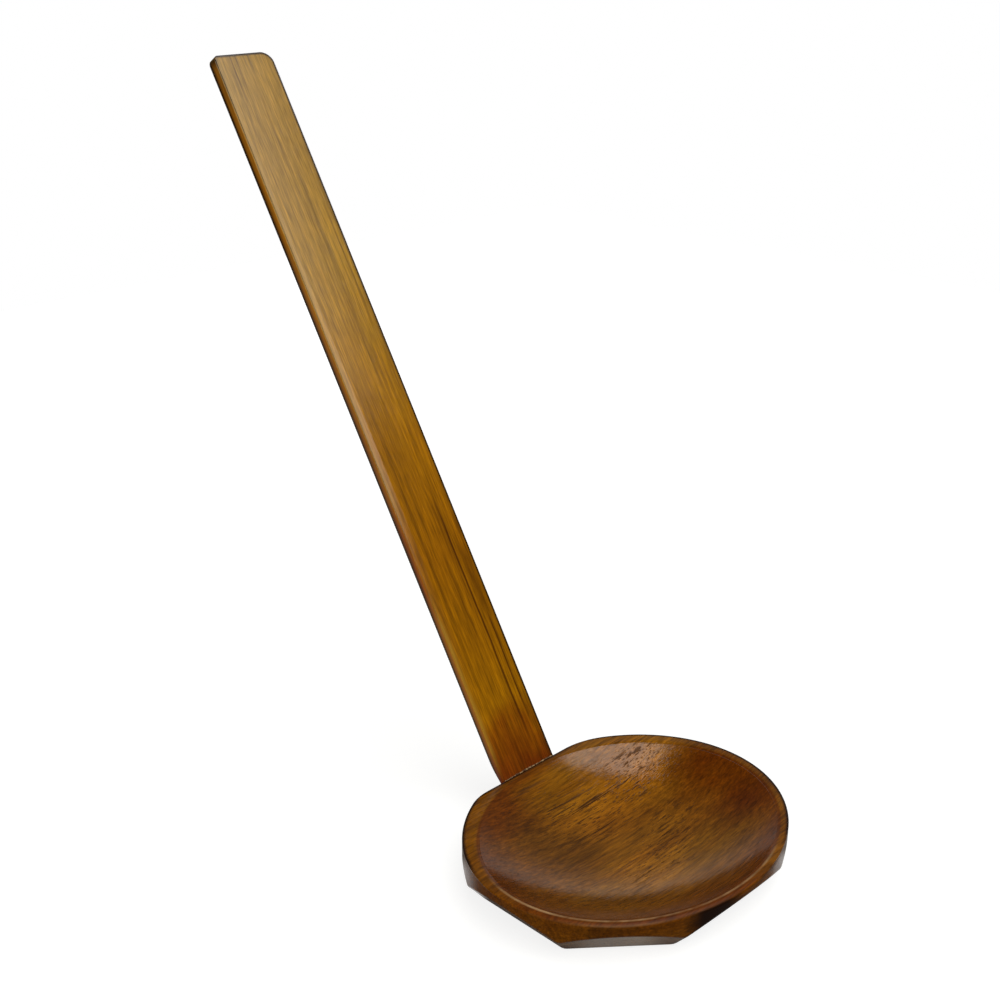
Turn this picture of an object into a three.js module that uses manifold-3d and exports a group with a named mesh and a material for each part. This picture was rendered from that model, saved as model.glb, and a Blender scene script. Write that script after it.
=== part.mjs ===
// A wooden ramen spoon: a hollowed oval bowl with a planed underside, and a flat handle that is
// glued to the bowl's back facet and leans back from it.
//
// Millimetres, +Z up. The origin is on the base, under the centre of the bowl's oval.
// +X is forward, away from the handle, and +Y is to the left of someone looking along +X.

import * as THREE from "three";
import { mergeVertices } from "three/addons/utils/BufferGeometryUtils.js";
import Module from "manifold-3d";

// Driving dimensions of the bowl
const BOWL_LENGTH = 62; // over the whole oval, along X
const BOWL_WIDTH = 73.5;
const BOWL_HEIGHT = 10;
const FLOOR_THICKNESS = 3.8; // wood left under the deepest point of the hollow
const DISH_POWER = 2.4; // 2 is a parabola, and a higher power has a flatter floor
const RIM_FRONT = 1.7;
const RIM_SIDE = 2.1;
const RIM_BACK = 3.6; // to the back of the oval, before the seat is planed off
const RIM_AT_HANDLE = 0.65; // what the seat leaves of that

// Facets of the underside: how far each starts below the rim, and the compass angle it faces,
// counted from +X. The seat of the handle is the eighth facet.
const FACET_SLOPE = 40; // degrees from upright
const FRONT_FACET_START = 1.8;
const FRONT_CORNER_FACET_START = 2.5;
const FRONT_CORNER_FACET_ANGLE = 41;
const SIDE_FACET_START = 1.8;
const REAR_CORNER_FACET_START = 4.2;
const REAR_CORNER_FACET_ANGLE = 136;

// Driving dimensions of the handle
const HANDLE_ANGLE = 57.8; // degrees from the rim's plane
const HANDLE_LENGTH = 170.9; // above the rim
const HANDLE_WIDTH = 15.5;
const TIP_THICKNESS = 2.6;
const NECK_THICKNESS = 2.2; // just above the bowl
const FOOT_THICKNESS = 0.9; // the foot is thinned from the back, to lie close to the bowl
const TIP_CUT_ACROSS = 1.45; // the cut corners of the tip
const TIP_CUT_ALONG = 1.65;
const FOOT_CURVE_START = 5; // above the rim
const FOOT_CURVE_END = 4; // below the rim

// The glued joint
const GLUE_THICKNESS = 0.2;
const GLUE_CLEARANCE = 0.05; // between the film and the wood, on each face
const GLUE_BEAD = 0.25; // how far the film stands out above the rim

// Fineness of the round faces
const OVAL_STEPS = 96;
const DISH_RINGS = 12;
const CURVE_STEPS = 8;

// Derived sizes
const halfLength = BOWL_LENGTH / 2;
const halfWidth = BOWL_WIDTH / 2;
const hollowLength = BOWL_LENGTH - RIM_FRONT - RIM_BACK;
const hollowWidth = BOWL_WIDTH - 2 * RIM_SIDE;
const hollowDepth = BOWL_HEIGHT - FLOOR_THICKNESS;
const hollowBack = RIM_BACK - halfLength;
const seatAtRim = hollowBack - RIM_AT_HANDLE;
const lean = THREE.MathUtils.degToRad(90 - HANDLE_ANGLE);
const jointGap = GLUE_THICKNESS + 2 * GLUE_CLEARANCE;
const CUTTER = 2 * (BOWL_LENGTH + BOWL_WIDTH + BOWL_HEIGHT); // larger than what it cuts

const wasm = await Module();
wasm.setup();

// A closed geometry as a solid. Its shared corners are merged and collapsed triangles dropped.
function solidOf(geometry) {
  geometry.deleteAttribute("normal");
  geometry.deleteAttribute("uv");
  const merged = mergeVertices(geometry);
  const corners = merged.index.array;
  const triangles = [];
  for (let i = 0; i < corners.length; i += 3) {
    const [a, b, c] = corners.slice(i, i + 3);
    if (a !== b && b !== c && c !== a) triangles.push(a, b, c);
  }
  return new wasm.Manifold(
    new wasm.Mesh({
      numProp: 3,
      vertProperties: merged.getAttribute("position").array,
      triVerts: new Uint32Array(triangles),
    }),
  );
}

// A solid as a named mesh in its own wood or glue.
function meshOf(name, solid, material) {
  const { numProp, vertProperties, triVerts } = solid.getMesh();
  const geometry = new THREE.BufferGeometry();
  geometry.setAttribute("position", new THREE.BufferAttribute(vertProperties, numProp));
  geometry.setIndex(new THREE.BufferAttribute(triVerts, 1));
  geometry.computeVertexNormals();
  const mesh = new THREE.Mesh(geometry, material);
  mesh.name = name;
  return mesh;
}

// How far the oval reaches in a compass direction.
function ovalReach(angle) {
  return Math.hypot(halfLength * Math.cos(angle), halfWidth * Math.sin(angle));
}

// A block whose near face is a plane through a point of the rim's level or below it. The plane
// faces the compass angle and leans in under the bowl by the slope.
function facetCutter(angle, slope, reach, level) {
  return new THREE.BoxGeometry(CUTTER, CUTTER, CUTTER)
    .translate(CUTTER / 2, 0, 0)
    .rotateY(slope)
    .translate(reach, 0, level)
    .rotateZ(angle);
}

// The hollow as a turned dish of radius 1 and depth 1, stretched to the oval and the depth.
function dishCutter() {
  const profile = [];
  for (let ring = 0; ring <= DISH_RINGS; ring += 1) {
    const radius = ring / DISH_RINGS;
    profile.push(new THREE.Vector2(radius, radius ** DISH_POWER - 1));
  }
  profile.push(new THREE.Vector2(1, 1), new THREE.Vector2(0, 1));
  return new THREE.LatheGeometry(profile, OVAL_STEPS)
    .rotateX(Math.PI / 2)
    .scale(hollowLength / 2, hollowWidth / 2, hollowDepth)
    .translate(hollowBack + hollowLength / 2, 0, BOWL_HEIGHT);
}

// The bowl: an oval block, its underside planed, its back planed for the handle, then hollowed.
function bowlSolid() {
  const block = new THREE.CylinderGeometry(1, 1, BOWL_HEIGHT, OVAL_STEPS)
    .rotateX(Math.PI / 2)
    .scale(halfLength, halfWidth, 1)
    .translate(0, 0, BOWL_HEIGHT / 2);
  const facets = [
    { angle: 0, start: FRONT_FACET_START },
    { angle: FRONT_CORNER_FACET_ANGLE, start: FRONT_CORNER_FACET_START },
    { angle: -FRONT_CORNER_FACET_ANGLE, start: FRONT_CORNER_FACET_START },
    { angle: 90, start: SIDE_FACET_START },
    { angle: -90, start: SIDE_FACET_START },
    { angle: REAR_CORNER_FACET_ANGLE, start: REAR_CORNER_FACET_START },
    { angle: -REAR_CORNER_FACET_ANGLE, start: REAR_CORNER_FACET_START },
  ];
  let bowl = solidOf(block);
  for (const facet of facets) {
    const angle = THREE.MathUtils.degToRad(facet.angle);
    const slope = THREE.MathUtils.degToRad(FACET_SLOPE);
    const cutter = facetCutter(angle, slope, ovalReach(angle), BOWL_HEIGHT - facet.start);
    bowl = bowl.subtract(solidOf(cutter));
  }
  const seat = facetCutter(Math.PI, lean, -seatAtRim, BOWL_HEIGHT);
  return bowl.subtract(solidOf(seat)).subtract(solidOf(dishCutter()));
}

// The handle and the glue are modelled upright in a frame whose origin is where the seat meets
// the rim: X is square to the seat, Y across the handle and Z along it. The frame leans back.

// Height of the base's plane in that frame, at a distance in front of the seat.
function baseLevel(x) {
  return (-BOWL_HEIGHT - x * Math.sin(lean)) / Math.cos(lean);
}

// The front view of the handle: a strip with two cut corners at the tip.
function handleFront() {
  const half = HANDLE_WIDTH / 2;
  const foot = baseLevel(0);
  const outline = new THREE.Shape();
  outline.moveTo(-half, foot);
  outline.lineTo(half, foot);
  outline.lineTo(half, HANDLE_LENGTH - TIP_CUT_ALONG);
  outline.lineTo(half - TIP_CUT_ACROSS, HANDLE_LENGTH);
  outline.lineTo(TIP_CUT_ACROSS - half, HANDLE_LENGTH);
  outline.lineTo(-half, HANDLE_LENGTH - TIP_CUT_ALONG);
  return outline;
}

// The side view of the handle: its back curves in above the rim, down to the thin foot.
function handleSide() {
  const tipBack = -jointGap - TIP_THICKNESS;
  const neckBack = -jointGap - NECK_THICKNESS;
  const footBack = -jointGap - FOOT_THICKNESS;
  const curveMiddle = (FOOT_CURVE_START - FOOT_CURVE_END) / 2;
  const outline = new THREE.Shape();
  outline.moveTo(footBack, baseLevel(footBack));
  outline.lineTo(-jointGap, baseLevel(-jointGap));
  outline.lineTo(-jointGap, HANDLE_LENGTH);
  outline.lineTo(tipBack, HANDLE_LENGTH);
  outline.lineTo(neckBack, FOOT_CURVE_START);
  outline.bezierCurveTo(
    neckBack,
    curveMiddle,
    footBack,
    curveMiddle,
    footBack,
    -FOOT_CURVE_END,
  );
  return outline;
}

// The side view of the glue: a film from the base to a little above the rim.
function glueSide() {
  const front = -GLUE_CLEARANCE;
  const back = front - GLUE_THICKNESS;
  const outline = new THREE.Shape();
  outline.moveTo(back, baseLevel(back));
  outline.lineTo(front, baseLevel(front));
  outline.lineTo(front, GLUE_BEAD);
  outline.lineTo(back, GLUE_BEAD);
  return outline;
}

// A side view carried across the width of the handle.
function acrossHandle(outline) {
  return new THREE.ExtrudeGeometry(outline, {
    depth: HANDLE_WIDTH,
    bevelEnabled: false,
    curveSegments: CURVE_STEPS,
  })
    .rotateX(Math.PI / 2)
    .translate(0, HANDLE_WIDTH / 2, 0);
}

// The handle is what its front view and its side view have in common.
function handleSolid() {
  const depth = 2 * (jointGap + TIP_THICKNESS + NECK_THICKNESS);
  const frontView = new THREE.ExtrudeGeometry(handleFront(), { depth, bevelEnabled: false })
    .rotateX(Math.PI / 2)
    .rotateZ(Math.PI / 2)
    .translate(-depth, 0, 0);
  return solidOf(frontView).intersect(solidOf(acrossHandle(handleSide())));
}

const bowlWood = new THREE.MeshStandardMaterial({ color: 0x7a5524, roughness: 0.42 });
const handleWood = new THREE.MeshStandardMaterial({ color: 0xa0732a, roughness: 0.42 });
const driedGlue = new THREE.MeshStandardMaterial({ color: 0xd2bc8c, roughness: 0.35 });

const spoon = new THREE.Group();
spoon.name = "ramen_spoon";
spoon.add(meshOf("bowl", bowlSolid(), bowlWood));

const joint = new THREE.Group();
joint.position.set(seatAtRim, 0, BOWL_HEIGHT);
joint.rotation.y = -lean;
joint.add(meshOf("handle", handleSolid(), handleWood));
joint.add(meshOf("glue_film", solidOf(acrossHandle(glueSide())), driedGlue));
spoon.add(joint);

export default spoon;
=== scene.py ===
# %% [markdown]
# A wooden ramen spoon
#
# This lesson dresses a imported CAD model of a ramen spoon: an oval wooden bowl with a planed
# underside, a flat handle glued to the back of it, and the thin line of glue between the two.
# The CAD model fixes every size and place. Here the same three pieces are modelled again with
# sanded edges and get their lacquered wood, in the same frame and in metres.

# %% The frame
import math
from functools import partial
from types import SimpleNamespace

import bmesh
import bpy
from mathutils import Matrix, Vector
from mathutils.geometry import intersect_plane_plane


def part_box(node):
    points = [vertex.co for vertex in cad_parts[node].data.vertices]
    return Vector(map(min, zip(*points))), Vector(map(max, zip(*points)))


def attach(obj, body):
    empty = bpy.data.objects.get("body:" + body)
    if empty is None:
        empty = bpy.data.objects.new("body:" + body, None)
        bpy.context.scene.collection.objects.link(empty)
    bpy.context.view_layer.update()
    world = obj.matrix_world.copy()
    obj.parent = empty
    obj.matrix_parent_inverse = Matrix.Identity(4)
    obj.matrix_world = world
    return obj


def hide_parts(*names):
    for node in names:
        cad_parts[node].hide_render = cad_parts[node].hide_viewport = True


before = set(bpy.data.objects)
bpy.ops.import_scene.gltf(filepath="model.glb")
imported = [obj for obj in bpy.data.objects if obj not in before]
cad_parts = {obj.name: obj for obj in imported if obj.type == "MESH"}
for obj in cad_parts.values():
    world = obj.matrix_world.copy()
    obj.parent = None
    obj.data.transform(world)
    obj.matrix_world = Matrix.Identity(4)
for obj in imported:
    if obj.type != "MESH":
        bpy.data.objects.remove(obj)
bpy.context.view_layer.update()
MM = 0.001
print("CAD nodes:", sorted(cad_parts))

# %% [markdown]
# The camera stands in front of the spoon, to the right of its handle, and looks down on it.
# It could be aimed at a target with a constraint, but a place, two angles and a small roll say
# the same in numbers that can be read. The lens is a short portrait lens.

# %% The camera
CAMERA_PLACE = Vector((164.0, -200.9, 187.0)) * MM
CAMERA_AZIMUTH = math.radians(45.08)
CAMERA_ELEVATION = math.radians(22.23)
CAMERA_ROLL = math.radians(0.15)
LENS = 53.17

camera = bpy.data.objects.new("camera", bpy.data.cameras.new("camera"))
camera.data.lens = LENS
camera.data.sensor_width = 36
camera.data.clip_start = 0.01
camera.matrix_world = (
    Matrix.Translation(CAMERA_PLACE)
    @ Matrix.Rotation(CAMERA_AZIMUTH, 4, "Z")
    @ Matrix.Rotation(math.pi / 2 - CAMERA_ELEVATION, 4, "X")
    @ Matrix.Rotation(CAMERA_ROLL, 4, "Z")
)
bpy.context.scene.collection.objects.link(camera)
bpy.context.scene.camera = camera
print("camera at", [round(x, 3) for x in CAMERA_PLACE])

# %% [markdown]
# The bowl starts as an oval block. Its outline is read from the CAD node's box, because the
# oval is centred on the origin. The rim and the hollow are made from the top face alone: it is
# extruded again and again, and each time the new face is drawn in and let down along the
# curve of the dish. A turned and stretched profile would give the same dish, but this way the
# rim, which is narrow at the front and wide at the back, stays one clean ring of faces.

# %% The oval block and its hollow
OVAL_STEPS = 192
DISH_RINGS = 28
RIM_FRONT = 1.7 * MM
RIM_SIDE = 2.1 * MM
RIM_BACK = 3.6 * MM
FLOOR_THICKNESS = 3.8 * MM
DISH_POWER = 2.4
RING_POWER = 1.2  # above 1, so the rings lie closer together near the rim

half_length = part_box("bowl")[1].x
half_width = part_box("bowl")[1].y
rim_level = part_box("bowl")[1].z
hollow_half_length = half_length - (RIM_FRONT + RIM_BACK) / 2
hollow_half_width = half_width - RIM_SIDE
hollow_centre = (RIM_BACK - RIM_FRONT) / 2
hollow_depth = rim_level - FLOOR_THICKNESS


def draw_in(bm, face, old, new):
    """Extrude a face and fit the new one to another oval: (half x, half y, centre x, z)."""
    face = bmesh.ops.extrude_discrete_faces(bm, faces=[face])["faces"][0]
    fit = (
        Matrix.Translation((new[2], 0, new[3]))
        @ Matrix.Diagonal((new[0] / old[0], new[1] / old[1], 1, 1))
        @ Matrix.Translation((-old[2], 0, -old[3]))
    )
    bmesh.ops.transform(bm, matrix=fit, verts=face.verts)
    return face


def oval_block():
    """The oval block with its rim and hollow, before the underside is planed."""
    bm = bmesh.new()
    bmesh.ops.create_cone(
        bm, cap_ends=True, segments=OVAL_STEPS, radius1=1, radius2=1, depth=rim_level
    )
    bmesh.ops.scale(bm, vec=(half_length, half_width, 1), verts=bm.verts)
    bmesh.ops.translate(bm, vec=(0, 0, rim_level / 2), verts=bm.verts)
    face = max(bm.faces, key=lambda f: f.calc_center_median().z)
    oval = (half_length, half_width, 0, rim_level)
    for ring in range(DISH_RINGS):
        share = 1 - (ring / DISH_RINGS) ** RING_POWER
        level = rim_level - hollow_depth * (1 - share**DISH_POWER)
        next_oval = (hollow_half_length * share, hollow_half_width * share, hollow_centre, level)
        face = draw_in(bm, face, oval, next_oval)
        oval = next_oval
    bmesh.ops.poke(bm, faces=[face])
    return bm


bowl_mesh = oval_block()
print("oval block:", len(bowl_mesh.faces), "faces")

# %% [markdown]
# On the real spoon the underside is planed flat on eight sides. Seven facets lean in by the
# same slope and start at different depths under the rim, so each leaves its own arch on the
# upright wall. The eighth, at the back, is the seat of the handle: it is parallel to it.
# Bisecting the mesh with a plane and filling the cut does just what the plane iron did. Three
# corners are not as sharp as the rest. One arris was sanded off, with one more stroke. Both ends
# of the seat were eased into the oval, so a few strokes turn there from the seat to the wall.

# %% The planed underside
FACET_SLOPE = math.radians(40)
HANDLE_ANGLE = math.radians(57.8)
RIM_AT_HANDLE = 0.65 * MM
FACETS = {
    # compass angle from +X in degrees: how far the facet starts below the rim
    0: 1.8 * MM,
    41: 2.5 * MM,
    -41: 2.5 * MM,
    90: 1.8 * MM,
    -90: 1.8 * MM,
    136: 4.2 * MM,
    -136: 4.2 * MM,
}
SOFT_ARRIS = (41, 90)  # the two facets beside it
SOFT_ARRIS_CUT = 0.9 * MM
SEAT_ENDS = {-1: 30, 1: 36}  # side: where on the oval the easing ends, in degrees from -X
SEAT_STROKES = 7
CUT_SLACK = 1e-7  # what lies this near to a cut counts as on it

lean = math.pi / 2 - HANDLE_ANGLE
seat_at_rim = RIM_BACK - half_length - RIM_AT_HANDLE
seat_facing = Vector((-math.cos(lean), 0, -math.sin(lean)))


def plane_off(bm, point, facing):
    """Cut away what lies outside a plane and close the cut with one flat face."""
    everything = bm.verts[:] + bm.edges[:] + bm.faces[:]
    cut = bmesh.ops.bisect_plane(
        bm, geom=everything, dist=CUT_SLACK, plane_co=point, plane_no=facing, clear_outer=True
    )
    border = [item for item in cut["geom_cut"] if isinstance(item, bmesh.types.BMEdge)]
    bmesh.ops.contextual_create(bm, geom=border)


def facet_plane(degrees):
    """A point on a facet, and the way the facet faces."""
    angle = math.radians(degrees)
    toward = Vector((math.cos(angle), math.sin(angle), 0))
    reach = math.hypot(half_length * toward.x, half_width * toward.y)
    facing = toward * math.cos(FACET_SLOPE) - Vector((0, 0, math.sin(FACET_SLOPE)))
    return toward * reach + Vector((0, 0, rim_level - FACETS[degrees])), facing


for degrees in FACETS:
    plane_off(bowl_mesh, *facet_plane(degrees))
plane_off(bowl_mesh, Vector((seat_at_rim, 0, rim_level)), seat_facing)

one_side, other_side = (facet_plane(degrees) for degrees in SOFT_ARRIS)
arris_point, arris_way = intersect_plane_plane(*one_side, *other_side)
base_corner = arris_point - arris_way * arris_point.z / arris_way.z
between = (one_side[1] + other_side[1]).normalized()
plane_off(bowl_mesh, base_corner - between * SOFT_ARRIS_CUT, between)

for side, degrees in SEAT_ENDS.items():
    at = math.radians(degrees)
    end = Vector((-half_length * math.cos(at), side * half_width * math.sin(at), rim_level))
    whole_turn = math.atan2(math.sin(at) / half_width, math.cos(at) / half_length)
    radius = (end.x - seat_at_rim) / (1 - math.cos(whole_turn))
    beside = end.y - side * radius * math.sin(whole_turn)
    centre = Vector((seat_at_rim + radius, beside, rim_level))
    for stroke in range(1, SEAT_STROKES):
        turn = whole_turn * stroke / SEAT_STROKES
        tilt = lean * (1 - stroke / SEAT_STROKES)
        outward = Vector((-math.cos(turn), side * math.sin(turn), 0))
        facing = outward * math.cos(tilt) - Vector((0, 0, math.sin(tilt)))
        plane_off(bowl_mesh, centre + outward * radius, facing)
print("planed bowl:", len(bowl_mesh.faces), "faces")

# %% [markdown]
# Sanding and lacquer round every edge a little. A Bevel modifier does it with a weight on each
# sharp edge. The rim needs it most: at the sides it is a flat band with a crisp outer edge and a
# soft inner one, and at the front left, where one sips, it is rounded over into a lip. So the
# widths of its two edges change along the rim. Weighted normals then keep the large facets flat
# right up to their rounded edges.

# %% Sanded edges
SHARP = math.radians(12)
SHORTEST_EDGE = 0.3 * MM
ARRIS_EDGE = 0.7 * MM
OUTER_RIM_EDGE = {"side": 0.15 * MM, "lip": 1.0 * MM}
INNER_RIM_EDGE = {"side": 0.8 * MM, "lip": 0.2 * MM}
NARROW_RIM_EDGE = 0.2 * MM
LIP_WAY = Vector((0.82, -0.57, 0))  # from the middle of the bowl to where one sips
LIP_START = 18.5 * MM  # along that way
LIP_END = 25 * MM
NARROW_START = -16 * MM
NARROW_END = -24 * MM
ARCH_EDGE = 0.35 * MM
SEAT_EDGE = 0.12 * MM
TOUCHING = 0.05 * MM
SAME_WAY = 0.999  # above this dot product two faces look the same way
UPRIGHT = 0.02  # under this height of its normal a face stands upright


def finish_piece(name, bm, widest_edge=0, segments=1):
    """Turn a bmesh into an object, with weighted bevels if asked, riding on the one rigid body."""
    bmesh.ops.recalc_face_normals(bm, faces=bm.faces)
    mesh = bpy.data.meshes.new(name)
    bm.to_mesh(mesh)
    bm.free()
    mesh.shade_smooth()
    piece = bpy.data.objects.new(name, mesh)
    bpy.context.scene.collection.objects.link(piece)
    if widest_edge:
        bevel = piece.modifiers.new("sanded edges", "BEVEL")
        bevel.limit_method = "WEIGHT"
        bevel.width = widest_edge
        bevel.segments = segments
        bevel.use_clamp_overlap = False
    normals = piece.modifiers.new("flat faces", "WEIGHTED_NORMAL")
    normals.keep_sharp = True
    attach(piece, "root")
    return piece


def blend(place, start, end, before, after):
    """A width that changes evenly from one place to another."""
    share = min(max((place - start) / (end - start), 0), 1)
    return before + (after - before) * share


bmesh.ops.remove_doubles(bowl_mesh, verts=bowl_mesh.verts, dist=SHORTEST_EDGE)
weights = bowl_mesh.edges.layers.float.new("bevel_weight_edge")
for edge in bowl_mesh.edges:
    if len(edge.link_faces) != 2 or edge.calc_face_angle(0) < SHARP:
        continue
    middle = (edge.verts[0].co + edge.verts[1].co) / 2
    toward_lip = middle.dot(LIP_WAY)
    on_rim = all(v.co.z > rim_level - TOUCHING for v in edge.verts)
    on_seat = any(f.normal.dot(seat_facing) > SAME_WAY for f in edge.link_faces)
    on_wall = any(abs(f.normal.z) < UPRIGHT for f in edge.link_faces)
    if on_rim and min(f.normal.z for f in edge.link_faces) < UPRIGHT:
        width = blend(toward_lip, LIP_START, LIP_END, *OUTER_RIM_EDGE.values())
    elif on_seat:
        width = SEAT_EDGE
    elif on_rim:
        at_side, at_lip = INNER_RIM_EDGE.values()
        at_side = blend(middle.x, NARROW_START, NARROW_END, at_side, NARROW_RIM_EDGE)
        width = blend(toward_lip, LIP_START, LIP_END, at_side, at_lip)
    elif on_wall:
        width = ARCH_EDGE
    else:
        width = ARRIS_EDGE
    edge[weights] = width / OUTER_RIM_EDGE["lip"]
bowl = finish_piece("spoon_bowl", bowl_mesh, OUTER_RIM_EDGE["lip"], segments=5)
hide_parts("bowl")
print("bowl:", len(bowl.data.polygons), "faces before the bevel")

# %% [markdown]
# The handle is a flat bar with its two tip corners rounded off, one more than the other. It is
# modelled standing upright, with its front face at the joint, and then leant back into place.
# It gets a little thinner towards the bowl, and its back curves in to a thin foot that lies
# close behind the bowl. A few cross cuts carry that curve. The tip corners are planed round,
# stroke by stroke. The left front edge was eased much more than the other edges, with two
# strokes that run out towards the tip.

# %% The handle
HANDLE_LENGTH = 170.9 * MM
HANDLE_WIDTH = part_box("handle")[1].y * 2
TIP_THICKNESS = 2.6 * MM
NECK_THICKNESS = 2.2 * MM
FOOT_THICKNESS = 0.9 * MM
FOOT_CURVE_START = 5 * MM
FOOT_CURVE_END = -4 * MM
FOOT_STEPS = 12
JOINT_GAP = 0.3 * MM
TIP_ROUNDS = {-1: (1.1 * MM, 1.6 * MM), 1: (3.0 * MM, 2.8 * MM)}  # side: across and along
TIP_STROKES = 9
LEFT_STROKES = {10: (2.3 * MM, 1.0 * MM), 20: (1.6 * MM, 0.6 * MM)}  # slope: width at rim and tip
LEFT_EDGE = 0.25 * MM
LONG_EDGE = 0.15 * MM
FACING_FRONT = 0.9  # above this dot product a face is part of the front

foot = -rim_level / math.cos(lean)
to_place = Matrix.Translation((seat_at_rim, 0, rim_level)) @ Matrix.Rotation(-lean, 4, "Y")


def bar_thickness(level):
    """Thickness of the handle at a height above the rim."""
    if level > FOOT_CURVE_START:
        share = (level - FOOT_CURVE_START) / (HANDLE_LENGTH - FOOT_CURVE_START)
        return NECK_THICKNESS + (TIP_THICKNESS - NECK_THICKNESS) * share
    share = min((FOOT_CURVE_START - level) / (FOOT_CURVE_START - FOOT_CURVE_END), 1)
    return NECK_THICKNESS + (FOOT_THICKNESS - NECK_THICKNESS) * share**2 * (3 - 2 * share)


bar = bmesh.new()
bmesh.ops.create_cube(bar, size=1)
bar_length = HANDLE_LENGTH - 2 * foot
bmesh.ops.scale(bar, vec=(TIP_THICKNESS, HANDLE_WIDTH, bar_length), verts=bar.verts)
bar_centre = (-JOINT_GAP - TIP_THICKNESS / 2, 0, HANDLE_LENGTH - bar_length / 2)
bmesh.ops.translate(bar, vec=bar_centre, verts=bar.verts)
for side, (across, along) in TIP_ROUNDS.items():
    for stroke in range(1, TIP_STROKES):
        turn = math.pi / 2 * stroke / TIP_STROKES
        beside = HANDLE_WIDTH / 2 - across * (1 - math.cos(turn))
        level = HANDLE_LENGTH - along * (1 - math.sin(turn))
        facing = Vector((0, side * math.cos(turn) / across, math.sin(turn) / along))
        plane_off(bar, Vector((0, side * beside, level)), facing.normalized())
for step in range(FOOT_STEPS + 1):
    level = FOOT_CURVE_START + (FOOT_CURVE_END - FOOT_CURVE_START) * step / FOOT_STEPS
    everything = bar.verts[:] + bar.edges[:] + bar.faces[:]
    bmesh.ops.bisect_plane(bar, geom=everything, plane_co=(0, 0, level), plane_no=(0, 0, 1))
for vert in bar.verts:
    if vert.co.x < -JOINT_GAP - TOUCHING:
        vert.co.x = -JOINT_GAP - bar_thickness(vert.co.z)
for slope, (at_rim, at_tip) in LEFT_STROKES.items():
    start = Vector((-JOINT_GAP, at_rim - HANDLE_WIDTH / 2, 0))
    end = Vector((-JOINT_GAP, at_tip - HANDLE_WIDTH / 2, HANDLE_LENGTH))
    down = Vector((-math.sin(math.radians(slope)), -math.cos(math.radians(slope)), 0))
    plane_off(bar, start, (end - start).cross(down).normalized())
bmesh.ops.transform(bar, matrix=to_place, verts=bar.verts)
plane_off(bar, Vector((0, 0, 0)), Vector((0, 0, -1)))

weights = bar.edges.layers.float.new("bevel_weight_edge")
through = to_place.to_3x3() @ Vector((1, 0, 0))
left = Vector((0, -1, 0))
for edge in bar.edges:
    if edge.calc_face_angle(0) < SHARP:
        continue
    on_front = any(face.normal.dot(through) > FACING_FRONT for face in edge.link_faces)
    leftmost = max(face.normal.dot(left) for face in edge.link_faces)
    width = blend(leftmost if on_front else 0, 0, 1, LONG_EDGE, LEFT_EDGE)
    edge[weights] = width / LEFT_EDGE
handle = finish_piece("spoon_handle", bar, LEFT_EDGE, segments=4)
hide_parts("handle")
print("handle:", len(handle.data.polygons), "faces before the bevel")

# %% [markdown]
# The glue shows only as a fine pale line where the front of the handle meets the rim. It is a
# thin film in the joint with an uneven bead on top, which has run out over the rim a little.
# The film is a strip between the two faces, cut across many times, and its upper edge is
# raised and drawn forward by a few sines and one thicker drop, as squeezed-out glue is never
# even.

# %% The glue
GLUE_THICKNESS = 0.26 * MM
GLUE_BEAD = 0.24 * MM
GLUE_SPREAD = 0.22 * MM
GLUE_STEPS = 90
GLUE_SHORTER = 0.6 * MM  # than the handle is wide
BEAD_MEAN = 0.36  # the height of the bead as a share, and the least of it
BEAD_LEAST = 0.1
BEAD_WAVES = [(0.18, 1.3, 0.6), (0.15, 3.1, 0)]  # height, pace along the joint and start
DROP_PLACE = -0.75
DROP_WIDTH = 0.7
DROP_HEIGHT = 0.6

film_width = HANDLE_WIDTH - GLUE_SHORTER
film_middle = -JOINT_GAP / 2
film = bmesh.new()
bmesh.ops.create_cube(film, size=1)
bmesh.ops.scale(film, vec=(GLUE_THICKNESS, film_width, -foot), verts=film.verts)
bmesh.ops.translate(film, vec=(film_middle, 0, foot / 2), verts=film.verts)
for step in range(1, GLUE_STEPS):
    across = (step / GLUE_STEPS - 0.5) * film_width
    everything = film.verts[:] + film.edges[:] + film.faces[:]
    bmesh.ops.bisect_plane(film, geom=everything, plane_co=(0, across, 0), plane_no=(0, 1, 0))
for vert in film.verts:
    if vert.co.z < foot / 2:
        continue
    place = vert.co.y / MM
    wave = BEAD_MEAN + sum(high * math.sin(pace * place + start) for high, pace, start in BEAD_WAVES)
    drop = math.exp(-(((place - DROP_PLACE) / DROP_WIDTH) ** 2))
    bead = min(max(wave, BEAD_LEAST) + DROP_HEIGHT * drop, 1)
    vert.co.z += GLUE_BEAD * bead
    if vert.co.x > film_middle:
        vert.co.x += GLUE_SPREAD * bead
bmesh.ops.transform(film, matrix=to_place, verts=film.verts)
plane_off(film, Vector((0, 0, 0)), Vector((0, 0, -1)))
glue = finish_piece("glue_line", film)
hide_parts("glue_film")
print("glue:", len(glue.data.polygons), "faces")

# %% [markdown]
# Materials are node trees. Small helpers keep them readable: one turns an sRGB hex colour into
# the linear values that the shader wants, one gives the scale at which a noise has features of
# a given size, and one adds a node, sets it, links it and hands back the output that the next
# node needs. A new material comes as that last helper, tied to the material's own tree, so that
# a call needn't name the tree again.

# %% Helpers for materials


def linear(hex_colour):
    """An sRGB colour such as "#8A6020" as linear RGBA."""
    channels = [int(hex_colour[i : i + 2], 16) / 255 for i in (1, 3, 5)]
    return [c / 12.92 if c <= 0.04045 else ((c + 0.055) / 1.055) ** 2.4 for c in channels] + [1]


def feature(*size_mm):
    """The scale along x, y and z at which one unit of a texture has this size."""
    return [1 / (size * MM) for size in size_mm]


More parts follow.
